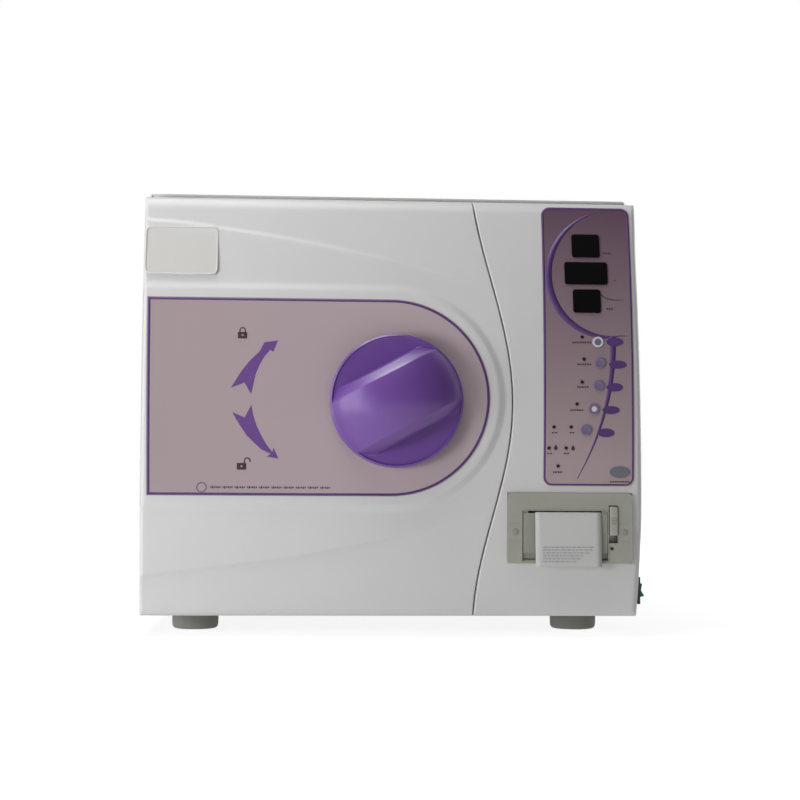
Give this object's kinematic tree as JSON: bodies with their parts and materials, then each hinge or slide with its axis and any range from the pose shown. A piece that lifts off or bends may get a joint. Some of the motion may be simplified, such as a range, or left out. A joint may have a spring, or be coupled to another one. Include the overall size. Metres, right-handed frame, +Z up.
{
  "type": "benchtop autoclave",
  "caption": "Benchtop steam autoclave: steel housing, swing door with round lock knob, round chamber with trays, control panel and strip printer.",
  "frame": {"origin": "bench plane on the mid-plane, where the plastic front meets the steel housing", "axes": "+Z up, front faces -Y, +X to the right seen from the front"},
  "size_m": [0.4495, 0.674, 0.4045],
  "materials": {
    "front_plastic": "satin moulded plastic, light grey-white",
    "cover_paint": "fine powder coat",
    "bare_steel": "brushed",
    "dark_plastic": "matt",
    "foot_rubber": "matt",
    "panel_film": "printed film",
    "door_film": "printed film",
    "window_black": "gloss",
    "lamp_plastic": "gloss",
    "printer_beige": "fine texture",
    "paper_white": "matt",
    "knob_purple": "soft gloss",
    "key_grey": "satin",
    "rocker_green": "gloss",
    "silicone": "matt",
    "insulation": "quilted",
    "brass_fit": "machined",
    "copper_tube": "drawn copper tube",
    "tank_plastic": "natural",
    "board_green": "solder mask",
    "cast_grey": "painted casting",
    "badge_white": "domed label, blank"
  },
  "bodies": {
    "housing": {"base_pan": "bare_steel", "outer_cover": "cover_paint", "back_panel": "bare_steel", "front_frame": "front_plastic", "control_fascia": "front_plastic", "control_overlay": "panel_film", "display_windows": "window_black", "indicator_leds": "lamp_plastic", "printer_bezel": "printer_beige", "printer_mechanism": "dark_plastic", "rocker_housing": "dark_plastic", "rubber_feet": "foot_rubber", "housing_screws": "bare_steel", "chamber_vessel": "bare_steel", "heater_band": "brass_fit", "insulation_jacket": "insulation", "chamber_saddles": "bare_steel", "tray_rack": "bare_steel", "tray_lower": "bare_steel", "tray_middle": "bare_steel", "tray_upper": "bare_steel", "clean_water_tank": "tank_plastic", "waste_water_tank": "tank_plastic", "vacuum_pump": "cast_grey", "steam_generator": "bare_steel", "valve_block": "brass_fit", "condenser_coil": "copper_tube", "fan_frame": "dark_plastic", "air_filter": "tank_plastic", "control_board": "board_green", "transformer": "cast_grey", "mains_inlet": "dark_plastic", "safety_valve": "brass_fit", "drain_fittings": "bare_steel", "lock_keeper": "bare_steel", "hinge_fixed_leaves": "bare_steel", "hinge_pins": "bare_steel"},
    "door": {"door_cover": "front_plastic", "door_liner": "front_plastic", "door_plate": "bare_steel", "door_gasket": "silicone", "door_arm": "bare_steel", "hinge_moving_leaves": "bare_steel", "door_overlay": "door_film", "badge_plate": "badge_white"},
    "knob_assembly": {"knob": "knob_purple", "knob_shaft": "bare_steel"},
    "printer_flap": {"printer_door": "printer_beige", "paper_strip": "paper_white"},
    "bolt_bar": {"lock_bolt": "bare_steel"},
    "key_1_body": {"key_1": "key_grey"},
    "key_2_body": {"key_2": "key_grey"},
    "key_3_body": {"key_3": "key_grey"},
    "key_4_body": {"key_4": "badge_white"},
    "key_5_body": {"key_5": "key_grey"},
    "rocker": {"mains_rocker": "rocker_green"},
    "latch": {"printer_latch": "dark_plastic"},
    "roll": {"paper_roll": "paper_white"},
    "lid": {"tank_lid": "tank_plastic"},
    "fan": {"fan_rotor": "dark_plastic"}
  },
  "joints": [
    {"name": "door_swing", "type": "hinge", "parent": "housing", "child": "door", "pos_m": [-0.212, -0.026, 0.206], "axis": [0, 0, -1], "range_deg": [0, 105]},
    {"name": "knob_turn", "type": "hinge", "parent": "door", "child": "knob_assembly", "pos_m": [0.003, -0.08, 0.206], "axis": [0, 1, 0], "range_deg": [0, 120]},
    {"name": "bolt_slide", "type": "slide", "parent": "door", "child": "bolt_bar", "axis": [1, 0, 0], "range_m": [0, 0.0252]},
    {"name": "mains_rocker_tilt", "type": "hinge", "parent": "housing", "child": "rocker", "pos_m": [0.2183, -0.037, 0.04], "axis": [0, 1, 0], "range_deg": [0, 16]},
    {"name": "printer_flap_tilt", "type": "hinge", "parent": "housing", "child": "printer_flap", "pos_m": [0.152, -0.071, 0.071], "axis": [1, 0, 0], "range_deg": [0, 70]},
    {"name": "printer_latch_slide", "type": "slide", "parent": "housing", "child": "latch", "axis": [0, 0, -1], "range_m": [0, 0.006]},
    {"name": "paper_roll_spin", "type": "hinge", "parent": "housing", "child": "roll", "pos_m": [0.155, -0.037, 0.093], "axis": [1, 0, 0], "continuous": true},
    {"name": "tank_lid_tilt", "type": "hinge", "parent": "housing", "child": "lid", "pos_m": [0.15, 0.469, 0.4025], "axis": [-1, 0, 0], "range_deg": [0, 95]},
    {"name": "fan_spin", "type": "hinge", "parent": "housing", "child": "fan", "pos_m": [-0.09, 0.5135, 0.22], "axis": [0, 1, 0], "continuous": true},
    {"name": "key_1_press", "type": "slide", "parent": "housing", "child": "key_1_body", "axis": [0, 1, 0], "range_m": [0, 0.0012], "stiffness_N_per_m": 400},
    {"name": "key_2_press", "type": "slide", "parent": "housing", "child": "key_2_body", "axis": [0, 1, 0], "range_m": [0, 0.0012], "stiffness_N_per_m": 400},
    {"name": "key_3_press", "type": "slide", "parent": "housing", "child": "key_3_body", "axis": [0, 1, 0], "range_m": [0, 0.0012], "stiffness_N_per_m": 400},
    {"name": "key_4_press", "type": "slide", "parent": "housing", "child": "key_4_body", "axis": [0, 1, 0], "range_m": [0, 0.0012], "stiffness_N_per_m": 400},
    {"name": "key_5_press", "type": "slide", "parent": "housing", "child": "key_5_body", "axis": [0, 1, 0], "range_m": [0, 0.0012], "stiffness_N_per_m": 400}
  ],
  "couplings": [
    {"joint": "bolt_slide", "follows": "knob_turn", "m_per_rad": 0.012}
  ]
}
